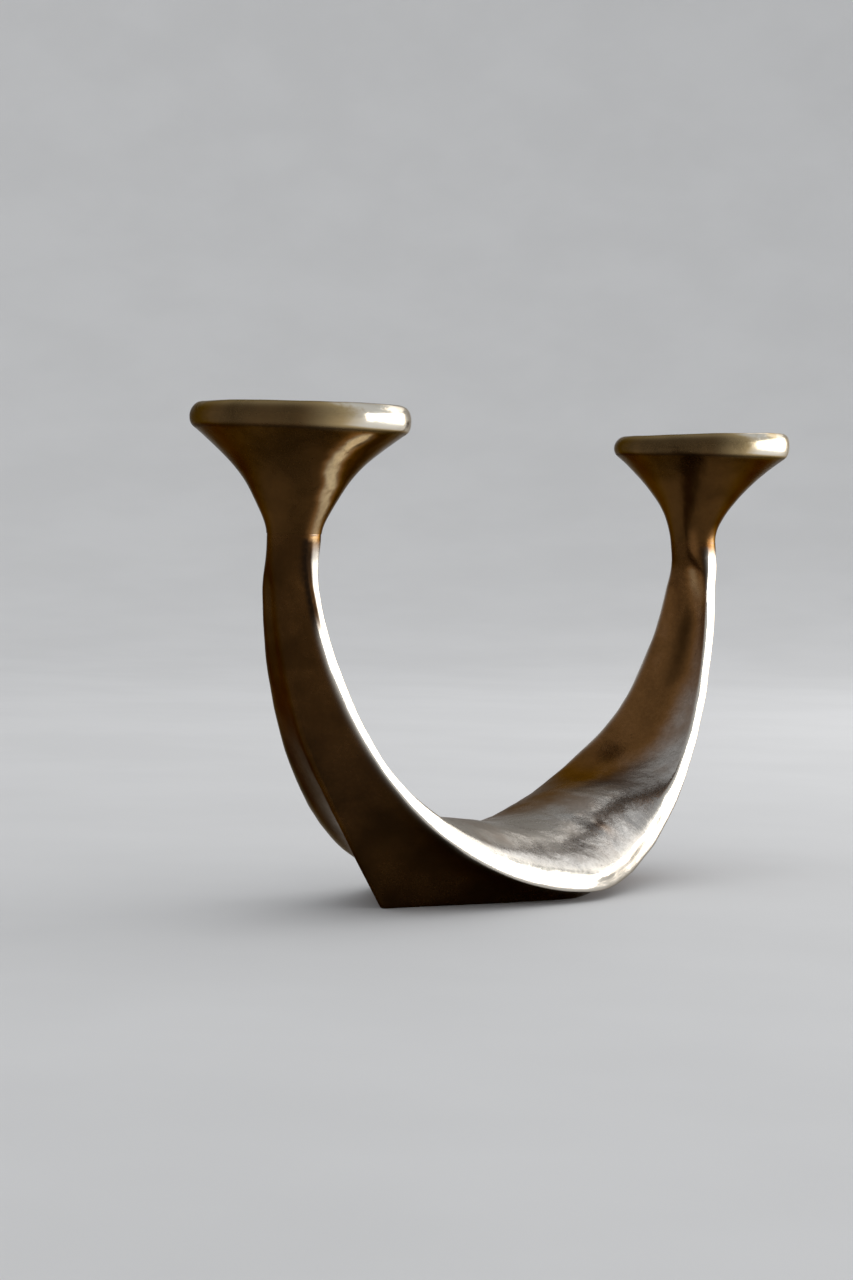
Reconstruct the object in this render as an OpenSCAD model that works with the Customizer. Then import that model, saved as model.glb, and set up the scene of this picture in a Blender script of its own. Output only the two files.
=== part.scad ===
// Two-light candle holder: one U-shaped bronze casting with a trumpet cup brazed to the top of each leg.
// Millimetres, +Z up. The origin is on the table under the middle of the U; X runs from cup to cup.

/* [Cups] */
// Outside diameter of a cup's rim
rim_d = 43.2; // [38:0.2:50]
// Height of the rounded band round the rim
rim_band_h = 5.2; // [4.2:0.1:6]
// Height of a cup, from its seam on the leg to the top of its rim
cup_h = 26.2; // [24:0.2:34]
// Rounding of the lip's outer corner, across; it is half as high again
lip_r = 2; // [1:0.1:2.3]
// Width of the flat on top of the lip
lip_land = 1; // [0.4:0.1:2]
// How far the band is rounded in at its foot, where the trumpet starts
band_bevel = 0.7; // [0.1:0.1:1]
// Diameter of a cup's stem at the seam
stem_d = 10.8; // [10:0.1:13]
// How late the trumpet opens out: 1 is a straight cone
flare_power = 1.75; // [1.4:0.05:2.4]
// Bore of the candle socket
socket_d = 22; // [16:0.5:23]
// Depth of the candle socket below the dish
socket_depth = 10; // [6:0.5:10]
// Least thickness of the wall round the socket
socket_wall = 1.2; // [0.8:0.1:2.5]
// Bevel at the mouth of the socket
socket_bevel = 0.6; // [0.2:0.1:1]
// How far the dish falls from the rim to the socket's mouth
dish_depth = 2.4; // [1:0.1:3]

/* [Spacing] */
// Distance between the two candles
cup_span = 155; // [140:1:200]
// How far the cups are brazed on in front of the casting's middle
cup_forward = 1; // [0:0.1:1.6]

/* [Casting] */
// Radius of the arc that the bottom of the edges follows
edge_r = 75; // [68:0.5:78]
// How much further out the edges stand at the necks than that arc
edge_flare = 4.2; // [2:0.1:5]
// Gap between the table and the lowest point of the edges
edge_lift = 2.1; // [1:0.1:4]
// Straight height of the legs above the arc's centre
neck_rise = 0.6; // [0.2:0.1:3]
// Depth of the casting, front to back, at its necks
neck_w = 10.4; // [8:0.2:11]
// Depth of the casting, front to back, across the middle
middle_w = 50.6; // [40:0.2:64]
// Thickness of the filed edges along the U
edge_t = 3.4; // [2.4:0.1:4.2]
// How much thicker the edges are across the middle
middle_extra_t = 1.2; // [0:0.1:1.6]
// How much thicker the back edge of the right leg is towards the middle
back_extra_t = 2.2; // [0:0.1:2.4]
// How far the filed edges lean in towards the inside
edge_bevel = 0.4; // [0:0.1:1]
// How softly the two sides of the foot meet at the middle
middle_round = 4; // [2:0.5:15]
// Angle below the necks over which the round neck turns into the band
neck_blend = 8; // [5:0.5:12]
// Height of the saddle's crest above the table
crest_h = 15.4; // [12:0.1:20]
// Height of the rounded shoulders between the filed edges and the saddle
shoulder_h = 3.8; // [2:0.1:5]
// How square those shoulders are across: 2 is evenly round
shoulder_power = 2.6; // [2:0.1:7]
// Angle below the necks at which the channel starts to fill up into the saddle
saddle_start = 38; // [20:1:45]
// Angle below the necks at which the saddle is full
saddle_end = 74; // [66:1:84]
// How much later the saddle fills up on the left leg
saddle_lag = 6; // [0:1:8]
// Depth of the channel that runs down the inside of each leg
channel_depth = 2.5; // [0:0.1:3]
// Radius of the arc that the outer keels follow
keel_r = 83; // [81:0.2:88]
// Angle below the necks at which a keel leaves its arc and runs straight on to the table
keel_turn = 37; // [30:0.5:44]
// How hollow the flanks are beside the base: 1 is flat
flank_hollow = 2.35; // [1.2:0.05:3]
// Width of the worn flat along a keel
keel_flat = 1.6; // [1:0.1:3]

/* [Joints] */
// Diameter of the dowel that locates a cup on its leg
dowel_d = 3; // [2:0.1:3.4]
// Depth of the dowel's hole in the leg
dowel_in_leg = 5; // [3:0.5:6]
// Thickness of the metal between the dowel's hole and the floor of the socket
dowel_cover = 4.4; // [2:0.1:8]
// Clearance round the dowel
dowel_clear = 0.02; // [0.01:0.01:0.05]
// Thickness of the brazing alloy between a cup and its leg
braze_t = 0.4; // [0.2:0.05:0.8]
// How far the braze bead stands out past the stem
braze_bead = 0.05; // [0:0.05:0.5]

/* [Hidden] */

// Heights
arc_z = edge_lift + edge_r;
leg_top = arc_z + neck_rise;
cup_foot = leg_top + braze_t;
rim_z = leg_top + cup_h;
band_z = rim_z - rim_band_h;
mouth_z = rim_z - dish_depth;
floor_z = mouth_z - socket_depth;

// Cup section: the band is widest a little above its foot, and the lip is higher than it is wide
stem_r = stem_d / 2;
dish_r = rim_d / 2 - lip_r - lip_land;
band_full_h = 1.1;
band_draw_in = 0.1;
lip_stretch = 1.5;
flare_steps = 16;

// Dowel
dowel_in_cup = floor_z - cup_foot - dowel_cover;
dowel_r = dowel_d / 2;
dowel_bore_r = dowel_r + dowel_clear;

// Casting section: angles run from the top of a leg (just above 0) to the middle of the U (90)
leg_x = cup_span / 2;
top_angle = -asin(neck_rise / (edge_r + edge_flare));
sections = 44;
flank_steps = 8;
inside_steps = 14;
ring_n = 2 * (flank_steps + 1) + inside_steps + 1;

// Angles below the necks between which the casting's shapes change; back_across is across its inside
level_end = 15;
channel_end = 14;
edges_thicken = [33, 58];
shoulders_rise = [38, 66];
back_thickens = [27, 48];
back_thins = [54, 85];
back_across = [0.1, 0.9];
flanks_fill = [4, 34];
flanks_hollow = [22, 65];
// Roundness of the flanks at the necks, and how late the casting widens down its legs
neck_flank = 0.62;
widening = 1.25;
// Directions round the neck, from straight out: the end of the keel, the arris and the edge's inner corner
neck_keel_a = 8;
neck_arris_a = 70;
neck_inner_a = 110;

bronze = [0.46, 0.34, 0.19];
pale_bronze = [0.55, 0.42, 0.24];
braze_colour = [0.72, 0.58, 0.30];
steel = [0.55, 0.56, 0.58];

// 0 below a, 1 above b, and a smooth step between them
function ease(a, b, x) = let(u = min(1, max(0, (x - a) / (b - a)))) u * u * (3 - 2 * u);
function ease_over(span, x) = ease(span[0], span[1], x);

// Outer arris of an edge, as a distance from the arc's centre
function edge_radius(t) = edge_r + edge_flare * pow(cos(t), 3);
// Half the depth of the casting: it widens evenly down the leg and rounds off across the middle
function half_width(t) =
    let(m = 90 - max(0, t), whole = sqrt(90 * 90 + middle_round * middle_round) - middle_round,
        gone = (sqrt(m * m + middle_round * middle_round) - middle_round) / whole)
    neck_w / 2 + (middle_w - neck_w) / 2 * pow(1 - gone, widening);
// Thickness of an edge: a little more across the middle
function edge_thickness(t) = edge_t + middle_extra_t * ease_over(edges_thicken, t);
// How much the back edge of the right leg adds to that, at v from -1 at the front to 1 at the back
function back_extra(t, side, v) =
    let(grown = ease_over(back_thickens, t) * (1 - ease_over(back_thins, t)))
    side > 0 ? back_extra_t * grown * ease_over(back_across, v) : 0;
// Keel: an arc, then the straight line that touches it
function keel_radius(t) = keel_r / cos(max(0, t - keel_turn));
// How far the inside stands in from the filed edges, at v from -1 at its front edge to 1 at its back:
// a channel down the leg, and across the middle a saddle on rounded shoulders
function inside(t, side, v) =
    let(lag = side < 0 ? saddle_lag : 0,
        saddle = ease(saddle_start + lag, saddle_end + lag, t),
        crown = edge_radius(90) - edge_thickness(90) - shoulder_h - (arc_z - crest_h),
        middle = saddle * crown - (1 - saddle) * channel_depth * ease(top_angle, channel_end, t))
    shoulder_h * ease_over(shoulders_rise, t) * (1 - pow(abs(v), shoulder_power)) + middle * (1 - v * v)
        + back_extra(t, side, v);
// Roundness of the flank between the keel and the edge: under 1 is full, over 1 is hollow
function flank_power(t) =
    neck_flank + (1 - neck_flank) * ease_over(flanks_fill, t)
        + (flank_hollow - 1) * ease_over(flanks_hollow, t);
// Direction in which a section is cut: level at the neck, square to the arc further down
function section_tilt(t) = t * ease(top_angle, level_end, t);
// How round a section still is, next to the cup's stem
function neck_round(t) = 1 - ease(top_angle, neck_blend, t);

// A point of a section: out is measured outwards from the edge's arris, y is front to back
function place(t, side, out, y) =
    let(a = section_tilt(t), r = edge_radius(t))
    [side * (r * cos(t) + out * cos(a)), y, arc_z - r * sin(t) - out * sin(a)];

// One closed section: front flank from keel to arris, inside from front to back, back flank to the keel
function section_shape(t, side) =
    let(
        a = section_tilt(t), r = edge_radius(t), w = half_width(t), p = flank_power(t),
        keel_out = keel_radius(t) - r,
        table_out = a > 5 ? (arc_z - r * sin(t)) / sin(a) : 1000,
        v_table = keel_out > table_out ? 1 - pow(table_out / keel_out, 1 / p) : 0,
        v0 = max(v_table, keel_flat / 2 / w),
        centre = leg_x - r * cos(t),
        k = neck_round(t)
    )
    concat(
        [for (j = [0 : flank_steps])
            let(v = v0 + (1 - v0) * j / flank_steps,
                b = neck_keel_a + (neck_arris_a - neck_keel_a) * j / flank_steps,
                out = min(table_out, keel_out * pow(1 - v, p)))
            [(1 - k) * out + k * (centre + stem_r * cos(b)),
             -(1 - k) * w * v - k * (cup_forward + stem_r * sin(b))]],
        [for (i = [0 : inside_steps])
            let(v = sin(180 * i / inside_steps - 90),
                b = neck_inner_a + (360 - 2 * neck_inner_a) * i / inside_steps,
                out = -edge_thickness(t) - inside(t, side, v))
            [(1 - k) * out + k * (centre + stem_r * cos(b)),
             (1 - k) * (w - edge_bevel) * v - k * (cup_forward + stem_r * sin(b))]],
        [for (j = [flank_steps : -1 : 0])
            let(v = v0 + (1 - v0) * j / flank_steps,
                b = neck_keel_a + (neck_arris_a - neck_keel_a) * j / flank_steps,
                out = min(table_out, keel_out * pow(1 - v, p)))
            [(1 - k) * out + k * (centre + stem_r * cos(b)),
             (1 - k) * w * v + k * (stem_r * sin(b) - cup_forward)]]
    );

// Angles of the sections down one leg, closer together at the neck
function leg_angle(i) = top_angle + (90 - top_angle) * pow(i / sections, 1.45);

function ring(t, side) = [for (q = section_shape(t, side)) place(t, side, q[0], q[1])];

// The whole U: sections down the left leg to the middle, then up the right leg
module u_solid() {
    rings = concat(
        [for (i = [0 : sections]) ring(leg_angle(i), -1)],
        [for (i = [sections - 1 : -1 : 0]) ring(leg_angle(i), 1)]
    );
    count = len(rings);
    points = [for (one = rings) each one];
    walls = [for (i = [0 : count - 2], k = [0 : ring_n - 1])
        let(a = i * ring_n + k, b = i * ring_n + (k + 1) % ring_n, c = b + ring_n, d = a + ring_n)
        each [[a, c, b], [a, d, c]]];
    cap_a = [for (k = [0 : ring_n - 1]) k];
    cap_b = [for (k = [ring_n - 1 : -1 : 0]) (count - 1) * ring_n + k];
    polyhedron(points, concat(walls, [cap_a, cap_b]), convexity = 6);
}

module dowel_holes(r) {
    for (side = [-1, 1])
        translate([side * leg_x, -cup_forward, leg_top - dowel_in_leg])
            cylinder(r = r, h = dowel_in_leg + 1, $fn = 48);
}

module body_casting() {
    color(bronze) difference() {
        u_solid();
        dowel_holes(dowel_bore_r);
    }
}

// Section of a cup: the trumpet outside, the rounded band and lip, the dish, then the socket
function flare_r(u) = stem_r + (rim_d / 2 - band_bevel - stem_r) * pow(u, flare_power);

module cup(side) {
    outside = [for (i = [0 : flare_steps])
        let(u = i / flare_steps, z = cup_foot + u * (band_z - cup_foot))
            [max(flare_r(u), z > floor_z - socket_wall / 2 ? socket_d / 2 + socket_wall : 0), z]];
    lip = [for (a = [0 : 15 : 90])
        [rim_d / 2 - lip_r + lip_r * cos(a), rim_z - lip_stretch * lip_r * (1 - sin(a))]];
    inside = [
        [dish_r, rim_z],
        [socket_d / 2 + socket_bevel, mouth_z],
        [socket_d / 2, mouth_z - socket_bevel],
        [socket_d / 2, floor_z],
        [0, floor_z]
    ];
    color(pale_bronze) translate([side * leg_x, -cup_forward, 0]) difference() {
        rotate_extrude($fn = 96)
            polygon(concat([[0, cup_foot]], outside,
                [[rim_d / 2 - band_draw_in, band_z + band_full_h]], lip, inside));
        translate([0, 0, cup_foot - 1]) cylinder(r = dowel_bore_r, h = dowel_in_cup + 1, $fn = 48);
    }
}

module braze(side) {
    color(braze_colour) translate([side * leg_x, -cup_forward, leg_top]) difference() {
        rotate_extrude($fn = 64) polygon([
            [0, 0], [stem_r, 0], [stem_r + braze_bead, braze_t / 2], [stem_r, braze_t], [0, braze_t]
        ]);
        translate([0, 0, -1]) cylinder(r = dowel_bore_r, h = braze_t + 2, $fn = 48);
    }
}

module dowel(side) {
    color(steel) translate([side * leg_x, -cup_forward, leg_top - dowel_in_leg])
        cylinder(r = dowel_r, h = dowel_in_leg + braze_t + dowel_in_cup, $fn = 48);
}

module left_cup() { cup(-1); }
module right_cup() { cup(1); }
module left_braze() { braze(-1); }
module right_braze() { braze(1); }
module left_dowel() { dowel(-1); }
module right_dowel() { dowel(1); }

body_casting();
left_cup();
right_cup();
left_braze();
right_braze();
left_dowel();
right_dowel();
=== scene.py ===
import bpy
import math
import numpy as np
from mathutils import Matrix, Vector, noise


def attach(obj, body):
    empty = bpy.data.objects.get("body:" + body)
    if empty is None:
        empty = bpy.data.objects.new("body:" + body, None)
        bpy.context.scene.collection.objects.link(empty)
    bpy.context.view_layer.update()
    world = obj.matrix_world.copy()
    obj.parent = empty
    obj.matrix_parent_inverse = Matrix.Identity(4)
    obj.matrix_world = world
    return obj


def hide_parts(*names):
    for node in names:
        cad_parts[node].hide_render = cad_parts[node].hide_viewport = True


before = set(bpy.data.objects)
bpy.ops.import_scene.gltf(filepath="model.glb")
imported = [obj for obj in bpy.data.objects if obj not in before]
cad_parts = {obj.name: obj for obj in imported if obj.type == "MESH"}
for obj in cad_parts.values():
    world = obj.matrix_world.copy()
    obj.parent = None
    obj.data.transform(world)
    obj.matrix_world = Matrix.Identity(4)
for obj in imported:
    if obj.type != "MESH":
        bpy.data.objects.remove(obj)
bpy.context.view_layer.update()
MM = 0.001

# Sizes of the object in millimetres and degrees, the same as in the solids
RIM_D, BAND_H, CUP_H, STEM_D = 43.2, 5.2, 26.2, 10.8
LIP_R, LIP_LAND, FLARE_POWER = 2.0, 1.0, 1.75
SOCKET_D, SOCKET_DEPTH, DISH_DEPTH = 22.0, 10.0, 2.4
CUP_SPAN, CUP_FORWARD = 155.0, 1.0
EDGE_R, EDGE_FLARE, EDGE_LIFT, NECK_RISE = 75.0, 4.2, 2.1, 0.6
NECK_W, MIDDLE_W, EDGE_T, MIDDLE_EXTRA = 10.4, 50.6, 3.4, 1.2
EDGE_BEVEL, CREST_H, SHOULDER, CHANNEL = 0.4, 15.4, 3.8, 2.5
KEEL_R, KEEL_TURN, HOLLOW, KEEL_FLAT = 83.0, 37.0, 2.35, 1.6
MIDDLE_ROUND, SADDLE_START, SADDLE_END, NECK_BLEND = 4.0, 38.0, 74.0, 8.0
SHOULDER_POWER, SADDLE_LAG, BACK_EXTRA = 2.6, 6.0, 2.2
BRAZE_T = 0.4

ARC_Z = EDGE_LIFT + EDGE_R
LEG_TOP = ARC_Z + NECK_RISE
CUP_FOOT = LEG_TOP + BRAZE_T
RIM_Z = LEG_TOP + CUP_H
BAND_Z = RIM_Z - BAND_H
MOUTH_Z = RIM_Z - DISH_DEPTH
FLOOR_Z = MOUTH_Z - SOCKET_DEPTH
RIM_R, STEM_R, SOCKET_R = RIM_D / 2, STEM_D / 2, SOCKET_D / 2
LEG_X = CUP_SPAN / 2
TOP_ANGLE = -math.degrees(math.asin(NECK_RISE / (EDGE_R + EDGE_FLARE)))

# Angles below the necks between which the casting's shapes change; BACK_ACROSS is across its inside
LEVEL_END, CHANNEL_END = 15, 14
EDGES_THICKEN, SHOULDERS_RISE = (33, 58), (38, 66)
BACK_THICKENS, BACK_THINS, BACK_ACROSS = (27, 48), (54, 85), (0.1, 0.9)
FLANKS_FILL, FLANKS_HOLLOW = (4, 34), (22, 65)
# Roundness of the flanks at the necks, and how late the casting widens down its legs
NECK_FLANK, WIDENING = 0.62, 1.25
# Directions round the neck, from straight out: the end of the keel, the arris and the edge's inner corner
NECK_KEEL_A, NECK_ARRIS_A, NECK_INNER_A = 8, 70, 110

# Points on half the keel, a flank, a filed edge and the inside, and where edge and inside start in a section
KEEL_N, FLANK_N, STRIP_N, INSIDE_N = 5, 34, 11, 84
EDGE_K = KEEL_N + FLANK_N
INSIDE_K = EDGE_K + STRIP_N
RING = 2 * INSIDE_K + INSIDE_N


def ease(a, b, x):
    """0 below a, 1 above b, and a smooth step between them."""
    u = min(1.0, max(0.0, (x - a) / (b - a)))
    return u * u * (3 - 2 * u)


def bell(x, width):
    return math.exp(-(x / width) ** 2)


def cosd(a):
    return math.cos(math.radians(a))


def sind(a):
    return math.sin(math.radians(a))


# The casting's shape, as in the solids, at t degrees below the necks

def edge_radius(t):
    return EDGE_R + EDGE_FLARE * cosd(t) ** 3


def half_width(t):
    m = 90 - max(0, t)
    whole = math.sqrt(90 * 90 + MIDDLE_ROUND ** 2) - MIDDLE_ROUND
    gone = (math.sqrt(m * m + MIDDLE_ROUND ** 2) - MIDDLE_ROUND) / whole
    return NECK_W / 2 + (MIDDLE_W - NECK_W) / 2 * max(0, 1 - gone) ** WIDENING


def edge_thickness(t):
    return EDGE_T + MIDDLE_EXTRA * ease(*EDGES_THICKEN, t)


def keel_radius(t):
    return KEEL_R / cosd(max(0, t - KEEL_TURN))


def inside(t, side, v):
    """How far the inside stands in from the filed edges, v running from -1 at its front to 1 at its back."""
    lag = SADDLE_LAG if side < 0 else 0
    saddle = ease(SADDLE_START + lag, SADDLE_END + lag, t)
    shoulder = SHOULDER * ease(*SHOULDERS_RISE, t)
    crown = edge_radius(90) - edge_thickness(90) - SHOULDER - (ARC_Z - CREST_H)
    middle = saddle * crown - (1 - saddle) * CHANNEL * ease(TOP_ANGLE, CHANNEL_END, t)
    back = BACK_EXTRA * (side > 0) * ease(*BACK_ACROSS, v)
    back = back * ease(*BACK_THICKENS, t) * (1 - ease(*BACK_THINS, t))
    return shoulder * (1 - abs(v) ** SHOULDER_POWER) + middle * (1 - v * v) + back


def flank_power(t):
    return NECK_FLANK + (1 - NECK_FLANK) * ease(*FLANKS_FILL, t) + (HOLLOW - 1) * ease(*FLANKS_HOLLOW, t)


def section_tilt(t):
    return t * ease(TOP_ANGLE, LEVEL_END, t)


def soft_min(a, b, k):
    low = min(a, b)
    return low - k * math.log(math.exp((low - a) / k) + math.exp((low - b) / k))


def section(t, side):
    """The points (out, y) of a closed section: keel, front flank and edge, inside, back edge and flank."""
    tilt, r, w, power = section_tilt(t), edge_radius(t), half_width(t), flank_power(t)
    keel_out = keel_radius(t) - r
    # Near the necks the sections are too level to reach the table
    level, beyond = 5, 1000.0
    table_out = (ARC_Z - r * sind(t)) / sind(tilt) if tilt > level else beyond
    v_table = 1 - (table_out / keel_out) ** (1 / power) if keel_out > table_out else 0
    v_keel = max(v_table, KEEL_FLAT / 2 / w)
    corner_round = 0.25
    soft_low = soft_min(table_out, keel_out, corner_round)
    centre = LEG_X - r * cosd(t)
    stem = 1 - ease(TOP_ANGLE, NECK_BLEND, t)
    rows = []

    def add(out, y, angle):
        """Adds a point; towards the neck it moves to its place on the round stem, at the angle given."""
        rows.append(((1 - stem) * out + stem * (centre + STEM_R * cosd(angle)),
                     (1 - stem) * y - stem * (CUP_FORWARD + STEM_R * sind(angle))))

    def flank_out(v):
        return min(soft_low, keel_out * (1 - v) ** power)

    for j in range(KEEL_N):
        f = j / KEEL_N
        add(flank_out(v_keel), -w * v_keel * f, NECK_KEEL_A * f)
    # The points stand closer towards the arris, and on the inside towards both edges
    for j in range(FLANK_N):
        g = 1 - (1 - j / FLANK_N) ** 1.3
        v = v_keel + (1 - v_keel) * g
        add(flank_out(v), -w * v, NECK_KEEL_A + (NECK_ARRIS_A - NECK_KEEL_A) * g)
    for j in range(STRIP_N):
        f = j / STRIP_N
        add(-edge_thickness(t) * f, -w + EDGE_BEVEL * f, NECK_ARRIS_A + (NECK_INNER_A - NECK_ARRIS_A) * f)
    for j in range(INSIDE_N + 1):
        f = j / INSIDE_N
        v = -math.cos(math.pi * f) * 0.75 + (2 * f - 1) * 0.25
        v = max(-1, min(1, v))
        add(-edge_thickness(t) - inside(t, side, v), (w - EDGE_BEVEL) * v,
            NECK_INNER_A + 2 * (180 - NECK_INNER_A) * f)
    for out, y in reversed(rows[1:INSIDE_K]):
        rows.append((out, -y - 2 * stem * CUP_FORWARD))
    return np.array(rows)


def rounded(points, sigma):
    """The closed outline with its corners rounded by about sigma, at the same places along it."""
    loop = np.vstack([points, points[:1]])
    steps = np.hypot(*np.diff(loop, axis=0).T)
    s = np.concatenate([[0], np.cumsum(steps)])
    total = s[-1]
    count = 1024
    even = np.arange(count) * total / count
    z = np.interp(even, s, loop[:, 0]) + 1j * np.interp(even, s, loop[:, 1])
    f = np.fft.fftfreq(count, total / count)
    z = np.fft.ifft(np.fft.fft(z) * np.exp(-0.5 * (2 * math.pi * f * sigma) ** 2))
    around = np.append(even, total)
    out = np.interp(s[:-1], around, np.append(z.real, z.real[0]))
    y = np.interp(s[:-1], around, np.append(z.imag, z.imag[0]))
    return np.column_stack([out, y])


def from_keel(k):
    """The number of points between point k of a section and the middle of its keel."""
    return min(k, RING - k)


def inner_corner(k):
    """1 by the inner corner of the filed edges and across the inside, 0 on the flanks."""
    return ease(EDGE_K + 1, EDGE_K + STRIP_N, from_keel(k))


def keel_side(k):
    """1 by the keel, 0 from halfway across the flanks."""
    return 1 - ease(KEEL_N + 8, KEEL_N + 24, from_keel(k))


def off_edge(k):
    """Roughly how many millimetres point k of a section lies off the nearest filed edge."""
    on_keel, per_flank_point, per_inside_point = 12.0, 0.30, 0.22
    j = from_keel(k)
    if j < KEEL_N:
        return on_keel
    if j < EDGE_K:
        return (EDGE_K - j) * per_flank_point + 0.2
    return max(0, j - INSIDE_K) * per_inside_point


def near_edge(k):
    """1 on the filed edges, fading off beside them."""
    return bell(off_edge(k), 1.2)


# Wear and unevenness

IMAGE_RIGHT = Vector((0.590, -0.807, 0))
# A small lump on the front of the saddle
LUMP_AT, LUMP_R, LUMP_H = Vector((16.8, -14.3, 14.2)), 2.4, 0.4
# Painted highlights round the near and the far neck, on their lit fronts: strength, direction and width in
# degrees
NEAR_NECK_HIGHLIGHTS = ((0.62, -90, 20),)
FAR_NECK_HIGHLIGHTS = ((0.5, -88, 18), (0.26, -148, 15))


def handling_and_reflection(t, v):
    """How far handling has cleaned the inside of the U, with painted reflection that makes its front lighter,
    0 to 1, from v = -1 at its front to 1 at its back.
    """
    front = 1 - ease(-0.15, 0.40, v)
    saddle = front * ease(66, 90, t) + (1 - front) * ease(74, 96, t)
    leg = front * (0.34 + 0.56 * ease(12, 60, t)) + (1 - front) * 0.26
    # Painted dark reflection along the channel's middle
    leg -= 0.26 * bell(v + 0.02, 0.26)
    return ease(TOP_ANGLE, 9, t) * (leg * (1 - saddle) + (0.62 + 0.38 * front) * saddle)


def neck_highlight(side, degrees):
    """How bright the painted highlight on the fronts of the necks is, by the direction round the stem."""
    streaks = NEAR_NECK_HIGHLIGHTS if side < 0 else FAR_NECK_HIGHLIGHTS
    return sum(strength * bell(degrees - at, width) for strength, at, width in streaks)


def hand_set(p):
    """The legs' tops and the cups stand a little out of true: where a point of the drawing really is."""
    x, y, z = p
    if x < 0:
        shift = -0.2 * ease(70, 78, z) + 0.9 * max(0, z - LEG_TOP) / CUP_H
    else:
        shift = -0.9 * ease(70, 80, z) + 1.7 * max(0, z - LEG_TOP - 4) / (CUP_H - 4)
    return Vector((x, y, z)) + IMAGE_RIGHT * shift


def fractal(p, size, seed, octaves=3):
    q = Vector(p) / size + Vector((seed * 17.3, seed * 5.1, -seed * 9.7))
    return noise.fractal(q, 1.0, 2.1, octaves)


# Meshes

def mesh_object(name, points, faces):
    mesh = bpy.data.meshes.new(name)
    mesh.from_pydata([tuple(c * MM for c in p) for p in points], [], faces)
    mesh.update()
    mesh.polygons.foreach_set("use_smooth", [True] * len(mesh.polygons))
    obj = bpy.data.objects.new(name, mesh)
    bpy.context.scene.collection.objects.link(obj)
    return obj


def set_values(obj, **attributes):
    """Gives lists of values to the mesh's points; where a list is short, the last points get 0."""
    for name, values in attributes.items():
        padded = np.zeros(len(obj.data.vertices), dtype=np.float32)
        padded[:len(values)] = values
        obj.data.attributes.new(name, "FLOAT", "POINT").data.foreach_set("value", padded)


def skin(rings, around, flip=False):
    """Quads between rings of points that follow each other; flip turns them to face the other way."""
    faces = []
    for i in range(rings - 1):
        for k in range(around):
            a, b = i * around + k, i * around + (k + 1) % around
            faces.append((a + around, b + around, b, a) if flip else (a, b, b + around, a + around))
    return faces


def add_cap(points, faces, first, around, hub, flip):
    """Closes the ring that starts at point first, with points of its own that leave its shading alone."""
    base = len(points)
    points += points[first:first + around]
    points.append(hub)
    for k in range(around):
        a, b = base + k, base + (k + 1) % around
        faces.append((base + around, a, b) if flip else (base + around, b, a))


def normals_of(points, faces):
    """Vertex normals of a mesh of quads, as numpy rows."""
    p, quads = np.asarray(points), np.array(faces)
    n = np.zeros_like(p)
    cross = np.cross(p[quads[:, 2]] - p[quads[:, 0]], p[quads[:, 3]] - p[quads[:, 1]])
    for corner in quads.T:
        np.add.at(n, corner, cross)
    return n / np.maximum(np.linalg.norm(n, axis=1, keepdims=True), 1e-9)


# The casting

def worn_section(t, side):
    """A section with its corners rounded, and rounder by the keel and at the edges' inner corners."""
    rows = section(t, side)
    least, corner_r, keel_extra = 0.02, 0.42, 1.1
    away = ease(TOP_ANGLE, NECK_BLEND + 2, t)
    crisp = rounded(rows, corner_r * away + least)
    # Just below the necks the keel is still round
    round_keel = rounded(rows, (corner_r + keel_extra * (1 - ease(12, 38, t))) * away + least)
    near_keel = np.array([keel_side(k) for k in range(RING)])[:, None]
    crisp = crisp * (1 - near_keel) + round_keel * near_keel
    # Down the legs the inner corner of the filed edges is worn away, most of all on the near one
    wear = 1.3 * ease(16, 44, t) if side < 0 else 0.15 * ease(16, 44, t) + ease(76, 89, t)
    worn = rounded(rows, 0.45 * away + least + wear)
    pull = np.array([inner_corner(k) for k in range(RING)])[:, None]
    return crisp * (1 - pull) + worn * pull


def place(t, side, out, y):
    tilt, r = section_tilt(t), edge_radius(t)
    return (side * (r * cosd(t) + out * cosd(tilt)), y, ARC_Z - r * sind(t) - out * sind(tilt))


def uneven(p, t, k):
    """How far point k of a section stands out from the drawing, in mm."""
    edge = near_edge(k)
    wobble = 0.13 * fractal(p, 13, 1, 2) + 0.025 * fractal(p, 4.2, 2, 2)
    wobble += edge * (0.07 * fractal(p, 7.5, 3, 2) + 0.02 * fractal(p, 2.4, 4, 2))
    if from_keel(k) >= INSIDE_K:
        saddle = ease(35, 70, t)
        wobble += saddle * (0.13 * fractal(p, 8.5, 5, 2) + 0.03 * fractal(p, 3.4, 6, 2))
    if p[0] < 0:
        # The near leg's keel is filed back under the neck
        wobble -= 0.75 * keel_side(k) * ease(3, 8, t) * (1 - ease(14, 32, t))
    return wobble + LUMP_H * bell((Vector(p) - LUMP_AT).length, LUMP_R)


def edge_painted_shade(p, k):
    """Painted shade: the outer part of the near leg's front edge is dark under the neck, and its wear is left
    out.
    """
    if p[0] < 0 and 0 < k < INSIDE_K:
        across = (k - EDGE_K) / STRIP_N
        return (1 - ease(0.22, 0.48, across)) * ease(56, 63, p[2]) * (1 - ease(76.4, 77.2, p[2]))
    return 0.0


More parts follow.
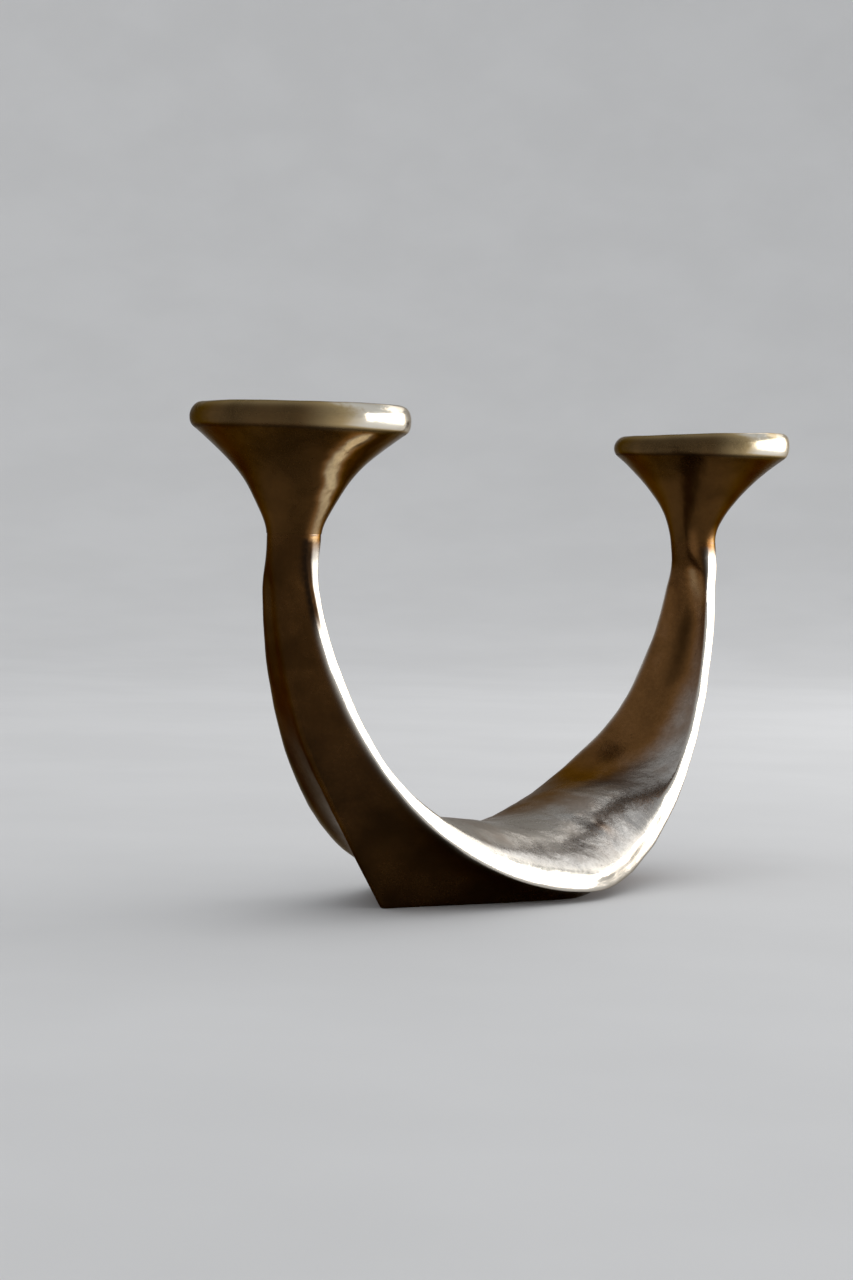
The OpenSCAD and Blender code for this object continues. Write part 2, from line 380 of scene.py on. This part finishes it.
def sheen_at(p, t, k):
    """How far handling has cleaned point k of a section, 0 to 1, with painted highlights and reflections in
    it.
    """
    v = (k - INSIDE_K) / INSIDE_N * 2 - 1
    # A painted golden highlight runs down the inside of the far neck
    glow = 0.34 * bell(v + 0.42 - 0.30 * ease(TOP_ANGLE, 6, t), 0.24)
    gold = glow * (p[0] > 0) * ease(3, 4.5, t) * (1 - ease(6, 14, t))
    sheen = inner_corner(k) * (handling_and_reflection(t, v) + gold)
    # Painted glint: the lump is given a golden tone so that its reflection looks warm
    sheen -= 0.35 * bell((Vector(p) - LUMP_AT).length, LUMP_R + 0.2)
    neck_end = 4
    if t < neck_end:
        turn = math.degrees(math.atan2(p[1] + CUP_FORWARD, abs(p[0]) - LEG_X))
        turn = turn if p[0] > 0 else -180 - turn
        sheen = max(sheen, neck_highlight(p[0], turn) * (1 - ease(TOP_ANGLE, neck_end, t)))
    return sheen


def painted_shade_at(p, t, k):
    """How dark point k of a section is painted as shade, 0 to 1."""
    z, j = p[2], from_keel(k)
    near_front = p[0] < 0 and 0 < k < INSIDE_K
    # Painted shade sits beside the filed edges just under the necks, wider and lower on the near leg's front
    beside = 0.0
    if KEEL_N <= j < EDGE_K:
        beside = 1 - ease(1.4, 3.2 + 1.8 * near_front * ease(67, 70, z), off_edge(k))
    elif EDGE_K <= j < INSIDE_K:
        beside = max(edge_painted_shade(p, k), 0.3 * near_front * ease(66, 71, z))
    painted_dark = beside * ease(59 - 3 * near_front, 67 - 4 * near_front, z) * (1 - ease(76.9, 77.4, z))
    if j >= INSIDE_K and p[0] > 0:
        # Painted shade on the front of the far neck's inside
        v = (k - INSIDE_K) / INSIDE_N * 2 - 1
        front = 1 - ease(-0.80, -0.50, v)
        painted_dark = max(painted_dark, 0.85 * front * ease(TOP_ANGLE, 1, t) * (1 - ease(5, 11, t)))
    if KEEL_N <= j < EDGE_K:
        # Painted shade: the flanks are darker low down
        painted_dark = max(painted_dark, 0.5 * bell(z - 28, 13))
    return painted_dark


def make_casting():
    rings_per_leg = 170
    angles = [TOP_ANGLE + (90 - TOP_ANGLE) * (i / rings_per_leg) ** 1.2 for i in range(rings_per_leg + 1)]
    rings = [(t, -1) for t in angles] + [(t, 1) for t in reversed(angles[:-1])]
    points = [place(t, side, out, y) for t, side in rings for out, y in worn_section(t, side)]
    faces = skin(len(rings), RING, True)
    moved, rub, dark, held, gilt = [], [], [], [], []
    for index, (p, n) in enumerate(zip(points, normals_of(points, faces))):
        t, k = rings[index // RING][0], index % RING
        # The brazed tops and the flat lower face stay true
        free = 1 - ease(LEG_TOP - 7, LEG_TOP, p[2])
        ground = ease(0.05, 2.2, p[2])
        edge = near_edge(k)
        q = Vector(p) + Vector(n) * uneven(p, t, k) * free * ground
        if edge > 0.02:
            q.y += edge * free * ground * 0.16 * fractal(p, 9, 7, 2)
        q.z = max(q.z, 0.0)
        moved.append(hand_set(q))
        rub.append(edge * ease(TOP_ANGLE + 0.3, 2.6, t) * (1 - edge_painted_shade(p, k)))
        dark.append(painted_shade_at(p, t, k))
        held.append(sheen_at(p, t, k))
        # Beside the brazed seams the metal is golden
        gilt.append(1 - ease(6, 15, t))
    for first in (0, (len(rings) - 1) * RING):
        hub = sum(moved[first:first + RING], Vector()) / RING
        add_cap(moved, faces, first, RING, hub, first == 0)
    obj = mesh_object("casting", moved, faces)
    set_values(obj, rub=rub, dark=dark, held=held, gilt=gilt)
    return obj


# The cups

AROUND = 200
# How far the band stands out from the trumpet below it
BAND_STEP = 0.7
# The band's foot, its widest place a little above that, and how much higher the lip is than it is wide
BAND_FOOT_IN, BAND_FOOT_H, BAND_DRAW_IN, BAND_FULL_H, LIP_STRETCH = 0.45, 0.25, 0.1, 1.1, 1.5
MOUTH_BEVEL = 0.6


def smooth_profile(profile, sigma, step=0.12):
    """An open profile (r, z) with its corners rounded, evenly spaced, with its ends kept."""
    p = np.array(profile)
    s = np.concatenate([[0], np.cumsum(np.hypot(*np.diff(p, axis=0).T))])
    even = np.arange(0, s[-1], step)
    r, z = np.interp(even, s, p[:, 0]), np.interp(even, s, p[:, 1])
    reach = int(4 * sigma / step)
    kernel = np.exp(-0.5 * (np.arange(-reach, reach + 1) * step / sigma) ** 2)
    kernel /= kernel.sum()

    def blur(v):
        padded = np.concatenate([2 * v[0] - v[reach:0:-1], v, 2 * v[-1] - v[-2:-reach - 2:-1]])
        return np.convolve(padded, kernel, mode="valid")
    return np.column_stack([np.maximum(blur(r), 0), blur(z)])


def cup_profile():
    """A cup's profile (r, z) from its foot up over the lip and down into the socket."""
    steps, lip_h = 80, LIP_STRETCH * LIP_R
    flare = [(STEM_R + (RIM_R - BAND_STEP - STEM_R) * (i / steps) ** FLARE_POWER,
              CUP_FOOT + i / steps * (BAND_Z - CUP_FOOT)) for i in range(steps + 1)]
    band = [(RIM_R - BAND_FOOT_IN, BAND_Z + BAND_FOOT_H), (RIM_R - BAND_DRAW_IN, BAND_Z + BAND_FULL_H)]
    lip = [(RIM_R - LIP_R + LIP_R * cosd(a), RIM_Z - lip_h + lip_h * sind(a)) for a in range(0, 91, 10)]
    inner = [(RIM_R - LIP_R - LIP_LAND, RIM_Z), (SOCKET_R + MOUTH_BEVEL, MOUTH_Z),
             (SOCKET_R, MOUTH_Z - MOUTH_BEVEL), (SOCKET_R, FLOOR_Z), (0, FLOOR_Z)]
    profile = smooth_profile(flare + band + lip + inner, 0.32)
    # Fewer points where the profile is plain
    keep = [profile[0]]
    for q in profile[1:-1]:
        in_band = q[1] > BAND_Z - 1.2 and q[0] > SOCKET_R - 1
        if math.hypot(*(q - keep[-1])) >= (0.24 if in_band else 0.7):
            keep.append(q)
    return keep


def band_rub(r, z, c, s):
    """How far filing and handling have bared the band, with a painted highlight brightest at its front right,
    where it faces the light.
    """
    # Painted highlight: the band's face and lower edge are bright where they face the light; the lip's wear
    # goes all round
    facing = ease(0.25, 0.92, c * 0.37 - s * 0.93)
    face = (0.06 + 0.94 * facing) * ease(BAND_Z - 0.2, BAND_Z + 0.8, z) * ease(RIM_R - 3, RIM_R - 1, r)
    lip = 0.34 * bell(z - RIM_Z + 0.1, 0.8) * ease(SOCKET_R + 3, RIM_R - 2, r)
    foot = 0.25 * facing * bell(z - BAND_Z, 0.7) * ease(RIM_R - 2.0, RIM_R - 0.4, r)
    return min(1.0, face + lip + foot)


def cup_highlight(side, p, z, degrees):
    """The painted highlight on the outside of a cup: a streak down the near one's front, and at both feet the
    neck's.
    """
    streak = 0.0
    if side < 0:
        low = 1 - ease(CUP_FOOT, CUP_FOOT + 16, z)
        turn = degrees + 103 - 16 * low
        streak = bell(turn + 6 * fractal((0, 0, z), 6, 4), 8 + 9 * low)
        streak = min(1.0, streak * (1 + 0.5 * fractal(p, 2.6, 7)))
        streak *= (1.0 - 0.3 * low) * (1 - ease(BAND_Z - 1.5, BAND_Z, z))
    # The foot takes up the painted highlights of the neck under it
    low = 1 - ease(CUP_FOOT, CUP_FOOT + 6, z)
    return streak + low * (neck_highlight(side, degrees) - streak)


def make_cup(side, scale, seed):
    profile = cup_profile()
    points, rub, dark, held = [], [], [], []
    for r, z in profile:
        free = ease(CUP_FOOT, CUP_FOOT + 4, z)
        grow = 1 + (scale - 1) * ease(CUP_FOOT, BAND_Z, z)
        # The near cup is a little fuller above its foot
        fuller = 0.7 * (side < 0) * bell(z - CUP_FOOT - 6, 4.2) * (r > SOCKET_R or z < FLOOR_Z)
        outside = r > SOCKET_R + 0.4 or z < FLOOR_Z - 0.5
        # Painted shade: the socket's wall is painted dark
        in_socket = r < SOCKET_R + 0.7 and FLOOR_Z - 0.3 < z < MOUTH_Z + 0.2
        # Painted shade in the crease under the band
        band_crease_shade = 0.7 * (r > RIM_R - 1.6) * bell(z - BAND_Z + 0.1, 0.3)
        for k in range(AROUND):
            angle = 2 * math.pi * k / AROUND
            c, s = math.cos(angle), math.sin(angle)
            p = Vector(((r * grow + fuller) * c, (r * grow + fuller) * s, z))
            if outside:
                amount = 0.16 * fractal(p, 13, seed) + 0.05 * fractal(p, 4.5, seed + 1)
                if z > BAND_Z - 0.5:
                    amount += 0.10 * fractal((p.x, p.y, 0), 9, seed + 2)
                p += Vector((c, s, 0)) * amount * free
                p.z += 0.16 * fractal((p.x, p.y, 0), 16, seed + 3) * ease(BAND_Z - 2, RIM_Z, z)
                # The band is filed by eye, so it is taller on one side
                across = (p.x * IMAGE_RIGHT.x + p.y * IMAGE_RIGHT.y) / RIM_R
                up_band = ease(BAND_Z, RIM_Z, z)
                if side < 0:
                    p.z += (-0.15 + 0.35 * across) * up_band - 0.3 * across * ease(BAND_Z - 9, BAND_Z, z)
                else:
                    p.z += (-0.06 + 0.90 * across) * up_band
            p += Vector((side * LEG_X, -CUP_FORWARD, 0))
            points.append(hand_set(p))
            rub.append(band_rub(r, z, c, s) if outside else 0.0)
            dark.append(band_crease_shade if outside else float(in_socket))
            held.append(cup_highlight(side, p, z, math.degrees(math.atan2(s, c))) if outside else 0.0)
    faces = skin(len(profile), AROUND)
    add_cap(points, faces, 0, AROUND, hand_set((side * LEG_X, -CUP_FORWARD, CUP_FOOT)), False)
    # The seat of the candle is painted dark like the socket's wall, as painted shade
    dark += [0.0] * (AROUND + 1) + [1.0]
    seat, top = len(points), (len(profile) - 1) * AROUND
    points.append(hand_set((side * LEG_X, -CUP_FORWARD, FLOOR_Z)))
    faces += [(seat, top + k, top + (k + 1) % AROUND) for k in range(AROUND)]
    obj = mesh_object("cup_left" if side < 0 else "cup_right", points, faces)
    set_values(obj, rub=rub, dark=dark, held=held)
    return obj


def make_braze(side, seed):
    """The layer of alloy between leg and cup: filed nearly flush, with an uneven low bead."""
    around, rows = 160, 9
    points, held = [], []
    for j in range(rows):
        v = j / (rows - 1)
        for k in range(around):
            angle = 2 * math.pi * k / around
            c, s = math.cos(angle), math.sin(angle)
            r = STEM_R + math.sin(math.pi * v) * 0.03 * fractal((c * 5, s * 5, side * 3), 3.2, seed)
            points.append(hand_set((side * LEG_X + r * c, -CUP_FORWARD + r * s, LEG_TOP + v * BRAZE_T)))
            # The neck's painted highlight runs over the braze
            held.append(neck_highlight(side, math.degrees(math.atan2(s, c))))
    faces = skin(rows, around)
    for first, z in ((0, LEG_TOP), ((rows - 1) * around, LEG_TOP + BRAZE_T)):
        add_cap(points, faces, first, around, hand_set((side * LEG_X, -CUP_FORWARD, z)), first > 0)
    obj = mesh_object("braze_left" if side < 0 else "braze_right", points, faces)
    set_values(obj, held=held, gilt=[0.4] * len(points))
    return obj


# Materials

GOLDEN, BROWN, BARE = (0.80, 0.60, 0.34), (0.21, 0.098, 0.032), (0.73, 0.68, 0.60)
# The nearly black colour of the painted shade, and the colour of the pits
PAINTED_SHADE, PIT = (0.014, 0.009, 0.006), (0.03, 0.018, 0.010)


class Nodes:
    """Short names for building a material's node tree."""

    def __init__(self, name):
        self.material = bpy.data.materials.new(name)
        self.material.use_nodes = True
        self.tree = self.material.node_tree
        self.tree.nodes.clear()
        self.output = self.tree.nodes.new("ShaderNodeOutputMaterial")
        self.coordinates = self.tree.nodes.new("ShaderNodeTexCoord").outputs["Object"]

    def link(self, source, target):
        """Sets an input from a number, a colour or another node's output."""
        if isinstance(source, tuple):
            target.default_value = (*source, 1.0)
        elif isinstance(source, (int, float)):
            target.default_value = source
        else:
            self.tree.links.new(source, target)

    def attribute(self, name):
        node = self.tree.nodes.new("ShaderNodeAttribute")
        node.attribute_name = name
        return node.outputs["Fac"]

    def math(self, operation, a, b, clamp=False):
        node = self.tree.nodes.new("ShaderNodeMath")
        node.operation = operation
        node.use_clamp = clamp
        self.link(a, node.inputs[0])
        self.link(b, node.inputs[1])
        return node.outputs[0]

    def stretch(self, scale, turn=(0, 0, 0)):
        node = self.tree.nodes.new("ShaderNodeMapping")
        self.link(self.coordinates, node.inputs["Vector"])
        node.inputs["Scale"].default_value = scale
        node.inputs["Rotation"].default_value = turn
        return node.outputs["Vector"]

    def noise(self, size_mm, detail, rough=0.55, distortion=0.0, vector=None):
        node = self.tree.nodes.new("ShaderNodeTexNoise")
        self.link(vector or self.coordinates, node.inputs["Vector"])
        node.inputs["Scale"].default_value = 1 / MM / size_mm
        node.inputs["Detail"].default_value = detail
        node.inputs["Roughness"].default_value = rough
        node.inputs["Distortion"].default_value = distortion
        return node.outputs["Fac"]

    def cells(self, size_mm):
        node = self.tree.nodes.new("ShaderNodeTexVoronoi")
        self.link(self.coordinates, node.inputs["Vector"])
        node.inputs["Scale"].default_value = 1 / MM / size_mm
        return node.outputs["Distance"]

    def span(self, value, low, high, to_low=0.0, to_high=1.0):
        node = self.tree.nodes.new("ShaderNodeMapRange")
        node.interpolation_type = "SMOOTHSTEP"
        self.link(value, node.inputs["Value"])
        node.inputs["From Min"].default_value = low
        node.inputs["From Max"].default_value = high
        node.inputs["To Min"].default_value = to_low
        node.inputs["To Max"].default_value = to_high
        return node.outputs["Result"]

    def mix(self, factor, a, b):
        node = self.tree.nodes.new("ShaderNodeMix")
        node.data_type = "RGBA"
        # The sockets for colours; inputs 1 to 5 belong to the other data types
        self.link(factor, node.inputs[0])
        self.link(a, node.inputs[6])
        self.link(b, node.inputs[7])
        return node.outputs[2]

    def bump(self, height, distance_mm, strength, after=None):
        node = self.tree.nodes.new("ShaderNodeBump")
        self.link(height, node.inputs["Height"])
        node.inputs["Distance"].default_value = distance_mm * MM
        node.inputs["Strength"].default_value = strength
        if after is not None:
            self.link(after, node.inputs["Normal"])
        return node.outputs["Normal"]

    def principled(self, color, roughness, metallic, normal):
        node = self.tree.nodes.new("ShaderNodeBsdfPrincipled")
        self.link(color, node.inputs["Base Color"])
        self.link(roughness, node.inputs["Roughness"])
        self.link(metallic, node.inputs["Metallic"])
        self.link(normal, node.inputs["Normal"])
        self.link(node.outputs[0], self.output.inputs["Surface"])
        return node


def shade(color, factor):
    return tuple(c * factor for c in color)


def bronze(name, patina, silver, bright, bare, gloss, grain=1.0):
    """Brass under an uneven brown patina, worn through by handling and along the filed edges, with painted
    highlights, reflections and shade.
    """
    n = Nodes(name)
    broad = n.noise(34, 2, 0.45, 0.2)
    cloud = n.noise(8, 3, 0.5, 0.2)
    speck = n.noise(0.9, 4, 0.65)
    fine = n.noise(0.32, 3, 0.6)
    rub, dark, held = n.attribute("rub"), n.attribute("dark"), n.attribute("held")
    # Beside the brazed seams the metal is the golden colour of the cups
    silver = n.mix(n.attribute("gilt"), silver, GOLDEN)
    tone = n.math("ADD", n.math("MULTIPLY", broad, 0.6), n.math("MULTIPLY", cloud, 0.4))
    color = n.mix(n.span(tone, 0.36, 0.64), shade(patina, 0.62), shade(patina, 1.5))
    # Handling first thins the patina to a golden brown, and then leaves the bare metal; the painted
    # highlights and reflections take the same colours
    held = n.math("ADD", held, n.math("MULTIPLY", held, n.span(cloud, 0.3, 0.7, -0.15, 0.15)))
    color = n.mix(n.span(held, 0.02, 0.34), color, BROWN)
    color = n.mix(n.span(held, 0.24, 1.0), color, silver)
    color = n.mix(n.span(speck, 0.35, 0.75, 0.0, 0.22), color, shade(patina, 0.6))
    # Wear follows the filed edges and breaks up where the patina holds; on the cups' bands it carries a
    # painted highlight
    breaks = n.span(n.math("ADD", cloud, n.math("MULTIPLY", speck, 0.35)), 0.45, 0.72, 0.75, 1.0)
    wear = n.math("MULTIPLY", rub, breaks, True)
    color = n.mix(wear, color, bright)
    color = n.mix(n.span(wear, 0.6, 1.0), color, bare)
    # Painted shade: where the dark mask is set, the colour goes nearly black
    painted_dark = n.math("MULTIPLY", dark, n.span(speck, 0.30, 0.5, 0.75, 1.0), True)
    color = n.mix(n.math("MULTIPLY", painted_dark, 0.85), color, PAINTED_SHADE)
    pits = n.span(n.cells(2.6), 0.04, 0.11, 1.0, 0.0)
    pits = n.math("MULTIPLY", pits, n.span(n.noise(9, 2), 0.52, 0.64), True)
    color = n.mix(n.math("MULTIPLY", pits, 0.5), color, PIT)
    rough = n.math("ADD", n.span(tone, 0.35, 0.65, gloss + 0.07, gloss), n.span(speck, 0.3, 0.7, 0.0, 0.05))
    rough = n.math("SUBTRACT", rough, n.math("MULTIPLY", wear, 0.04))
    rough = n.math("ADD", rough, n.math("MULTIPLY", painted_dark, 0.12))
    scratch_a = n.noise(1.1, 2, 0.5, 0, n.stretch((0.06, 1.0, 1.0), (0.3, 0.5, 0.9)))
    scratch_b = n.noise(0.9, 2, 0.5, 0, n.stretch((1.0, 0.05, 1.0), (1.1, 0.2, 0.4)))
    lines = n.math("ADD", n.span(scratch_a, 0.60, 0.66), n.span(scratch_b, 0.62, 0.68))
    normal = n.bump(cloud, 0.10 * grain, 0.5)
    # Filing by hand leaves the bare metal lumpy and scratched
    lumps = n.math("ADD", n.noise(4.2, 2, 0.45, 0.3), n.math("MULTIPLY", lines, 0.035))
    normal = n.bump(n.math("MULTIPLY", lumps, n.span(held, 0.35, 0.9)), 0.22, 0.8, normal)
    normal = n.bump(n.math("ADD", speck, n.math("MULTIPLY", fine, 0.5)), 0.035 * grain, 0.8, normal)
    grooves = n.math("ADD", n.math("MULTIPLY", lines, 0.12), pits)
    normal = n.bump(n.math("SUBTRACT", 1.0, grooves), 0.04, 0.6, normal)
    shader = n.principled(color, rough, 1.0, normal)
    # Under a patina the metal doesn't turn white where it is seen at a low angle
    shader.inputs["Specular Tint"].default_value = (0.46, 0.41, 0.35, 1.0)
    return n.material


def use(obj, material):
    obj.data.materials.clear()
    obj.data.materials.append(material)


cast_bronze = bronze("bronze_cast", (0.064, 0.029, 0.0085), (0.565, 0.545, 0.515), BARE, BARE, 0.22)
turned_bronze = bronze("bronze_turned", (0.064, 0.030, 0.0085), GOLDEN, (0.76, 0.57, 0.29),
                       (0.92, 0.86, 0.74), 0.19, 0.8)

casting = make_casting()
use(casting, cast_bronze)
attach(casting, "root")
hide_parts("body_casting")

for side, scale, seed, node in ((-1, 1.018, 21, "left_cup"), (1, 0.976, 31, "right_cup")):
    cup = make_cup(side, scale, seed)
    use(cup, turned_bronze)
    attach(cup, "root")
    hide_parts(node)

for side, seed, node in ((-1, 41, "left_braze"), (1, 43, "right_braze")):
    ring = make_braze(side, seed)
    use(ring, cast_bronze)
    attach(ring, "root")
    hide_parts(node)

# The dowels are hidden inside, and keep their CAD solids
n = Nodes("steel_dowel")
drawn = n.noise(0.6, 3, 0.5, 0, n.stretch((1, 1, 0.08)))
n.principled(n.mix(drawn, (0.40, 0.41, 0.43), (0.56, 0.57, 0.59)), n.span(drawn, 0.3, 0.7, 0.28, 0.42), 1.0,
             n.bump(drawn, 0.01, 0.5))
for node in ("left_dowel", "right_dowel"):
    use(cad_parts[node], n.material)

# Camera, fitted to the photograph; FOCAL_PX and PHOTO_H are in its pixels
FOCAL_PX, PHOTO_H, SENSOR = 2846, 1280, 36
azimuth, pitch, roll = math.radians(-53.81), math.radians(-2.28), math.radians(1.44)
forward = Vector((-math.sin(azimuth) * math.cos(pitch), math.cos(azimuth) * math.cos(pitch), math.sin(pitch)))
right = Vector((math.cos(azimuth), math.sin(azimuth), 0))
up = right.cross(forward)
cam_x = right * math.cos(roll) + up * math.sin(roll)
cam_y = -right * math.sin(roll) + up * math.cos(roll)
turn = Matrix((cam_x, cam_y, -forward)).transposed().to_4x4()
camera_data = bpy.data.cameras.new("camera")
camera_data.sensor_width = SENSOR
camera_data.lens = FOCAL_PX / PHOTO_H * SENSOR
camera_data.clip_start = 0.01
camera_data.clip_end = 50
camera = bpy.data.objects.new("camera", camera_data)
bpy.context.scene.collection.objects.link(camera)
camera.matrix_world = Matrix.Translation((-0.51858, -0.35675, 0.08015)) @ turn
bpy.context.scene.camera = camera


def make_stage():
    """A round floor that turns up into a low wall."""
    floor_r, curve_r, around = 900, 1300, 96
    profile = [(floor_r / 3, 0), (floor_r / 3 * 2, 0), (floor_r, 0)]
    profile += [(floor_r + curve_r * sind(a), curve_r - curve_r * cosd(a)) for a in range(4, 65, 4)]
    angles = [2 * math.pi * k / around for k in range(around)]
    points = [(r * math.cos(angle), r * math.sin(angle), z) for r, z in profile for angle in angles]
    faces = skin(len(profile), around, True)
    faces.append(tuple(range(around)))
    obj = mesh_object("stage_floor", points, faces)
    n = Nodes("stage_paper")
    weave = n.noise(2.0, 3, 0.6)
    n.principled(n.mix(n.span(n.noise(90, 3), 0.3, 0.7), (0.70, 0.695, 0.69), (0.73, 0.725, 0.72)), 0.9, 0.0,
                 n.bump(weave, 0.05, 0.3))
    use(obj, n.material)
    return obj


make_stage()

world = bpy.data.worlds.new("world")
bpy.context.scene.world = world
world.use_nodes = True
world.node_tree.nodes["Background"].inputs["Color"].default_value = (0.93, 0.96, 1.0, 1)
world.node_tree.nodes["Background"].inputs["Strength"].default_value = 0.5


def area_lamp(name, place_at, look_at, width, height, power, color):
    data = bpy.data.lights.new(name, "AREA")
    data.shape = "RECTANGLE"
    data.size, data.size_y = width, height
    data.energy = power
    data.color = color
    obj = bpy.data.objects.new(name, data)
    bpy.context.scene.collection.objects.link(obj)
    direction = Vector(look_at) - Vector(place_at)
    obj.rotation_euler = direction.to_track_quat("-Z", "Y").to_euler()
    obj.location = place_at
    obj.visible_camera = False
    return obj


area_lamp("window", (0.77, -0.56, 0.20), (0, 0, 0.05), 1.2, 0.42, 5.2, (1.0, 0.99, 0.98))
area_lamp("window_top", (0.83, -0.03, 0.55), (0, 0, 0.02), 0.80, 0.34, 1.15, (0.97, 0.98, 1.0))
overhead = area_lamp("overhead", (0, 0, 2.0), (0, 0, 0), 3.4, 3.4, 15.0, (1.0, 1.0, 1.0))
# The polished metal shows the even sky in its place
overhead.visible_glossy = False

bpy.context.scene.view_settings.view_transform = "Standard"
